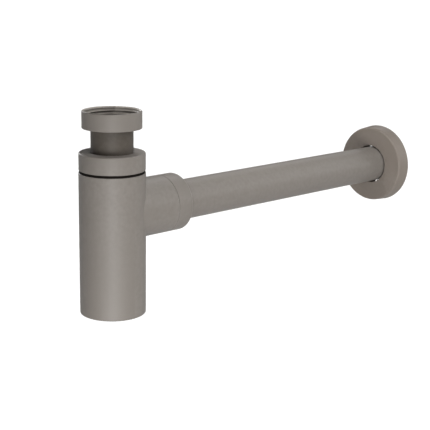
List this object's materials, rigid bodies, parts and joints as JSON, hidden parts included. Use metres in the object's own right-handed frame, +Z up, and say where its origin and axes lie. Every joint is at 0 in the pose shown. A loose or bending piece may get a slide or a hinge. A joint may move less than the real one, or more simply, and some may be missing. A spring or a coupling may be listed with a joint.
{
  "type": "bottle trap",
  "caption": "Metal bottle trap for a washbasin with union nut, inlet tube, cap nut, side outlet nut, straight outlet tube and wall flange.",
  "frame": {"origin": "centre of the union nut's mouth, at its upper face", "axes": "+Z up along the inlet tube and the bottle, +Y along the outlet tube towards the wall"},
  "size_m": [0.0706, 0.3592, 0.1559],
  "materials": {
    "coated_metal": "satin",
    "inlet_tube_metal": "satin",
    "black_rubber": "matte",
    "grey_rubber": "matte",
    "white_plastic": "matte",
    "spring_steel": "brushed"
  },
  "bodies": {
    "union_nut": {"union_nut": "coated_metal"},
    "inlet_tube": {"inlet_tube": "inlet_tube_metal", "inlet_washer": "black_rubber"},
    "inlet_gasket": {"inlet_cone_gasket": "grey_rubber"},
    "bottle": {"trap_body": "coated_metal", "cap_seal_ring": "black_rubber"},
    "inlet_ring": {"inlet_slip_ring": "white_plastic"},
    "cap_nut": {"cap_nut": "coated_metal"},
    "outlet_gasket": {"outlet_cone_gasket": "grey_rubber"},
    "outlet_tube": {"outlet_tube": "coated_metal"},
    "grip_spring": {"flange_grip_spring": "spring_steel"},
    "wall_flange": {"wall_flange": "coated_metal"},
    "outlet_ring": {"outlet_slip_ring": "white_plastic"},
    "outlet_nut": {"outlet_nut": "coated_metal"}
  },
  "joints": [
    {"name": "inlet_swivel", "type": "hinge", "parent": "union_nut", "child": "inlet_tube", "pos_m": [0, 0, -0.01], "axis": [0, 0, 1], "continuous": true},
    {"name": "height_slide", "type": "slide", "parent": "inlet_tube", "child": "inlet_gasket", "axis": [0, 0, 1], "range_m": [-0.03, 0.008]},
    {"name": "bottle_swivel", "type": "hinge", "parent": "inlet_gasket", "child": "bottle", "pos_m": [0, 0, -0.04], "axis": [0, 0, 1], "continuous": true},
    {"name": "cap_lift", "type": "slide", "parent": "bottle", "child": "inlet_ring", "axis": [0, 0, 1], "range_m": [0, 0.0075]},
    {"name": "cap_turn", "type": "hinge", "parent": "inlet_ring", "child": "cap_nut", "pos_m": [0, 0, -0.038], "axis": [0, 0, 1], "range_deg": [0, 1800]},
    {"name": "outlet_swivel", "type": "hinge", "parent": "bottle", "child": "outlet_gasket", "pos_m": [0, 0.06, -0.0778], "axis": [0, 1, 0], "continuous": true},
    {"name": "outlet_slide", "type": "slide", "parent": "outlet_gasket", "child": "outlet_tube", "axis": [0, 1, 0], "range_m": [-0.012, 0.012]},
    {"name": "flange_slide", "type": "slide", "parent": "outlet_tube", "child": "grip_spring", "axis": [0, 1, 0], "range_m": [-0.22, 0]},
    {"name": "flange_turn", "type": "hinge", "parent": "grip_spring", "child": "wall_flange", "pos_m": [0, 0.3136, -0.0778], "axis": [0, 1, 0], "continuous": true},
    {"name": "outlet_nut_lift", "type": "slide", "parent": "bottle", "child": "outlet_ring", "axis": [0, 1, 0], "range_m": [0, 0.0075]},
    {"name": "outlet_nut_turn", "type": "hinge", "parent": "outlet_ring", "child": "outlet_nut", "pos_m": [0, 0.06, -0.0778], "axis": [0, 1, 0], "range_deg": [0, 1800]}
  ],
  "couplings": [
    {"joint": "cap_lift", "follows": "cap_turn", "m_per_rad": 0.00023873},
    {"joint": "outlet_nut_lift", "follows": "outlet_nut_turn", "m_per_rad": 0.00023873}
  ]
}
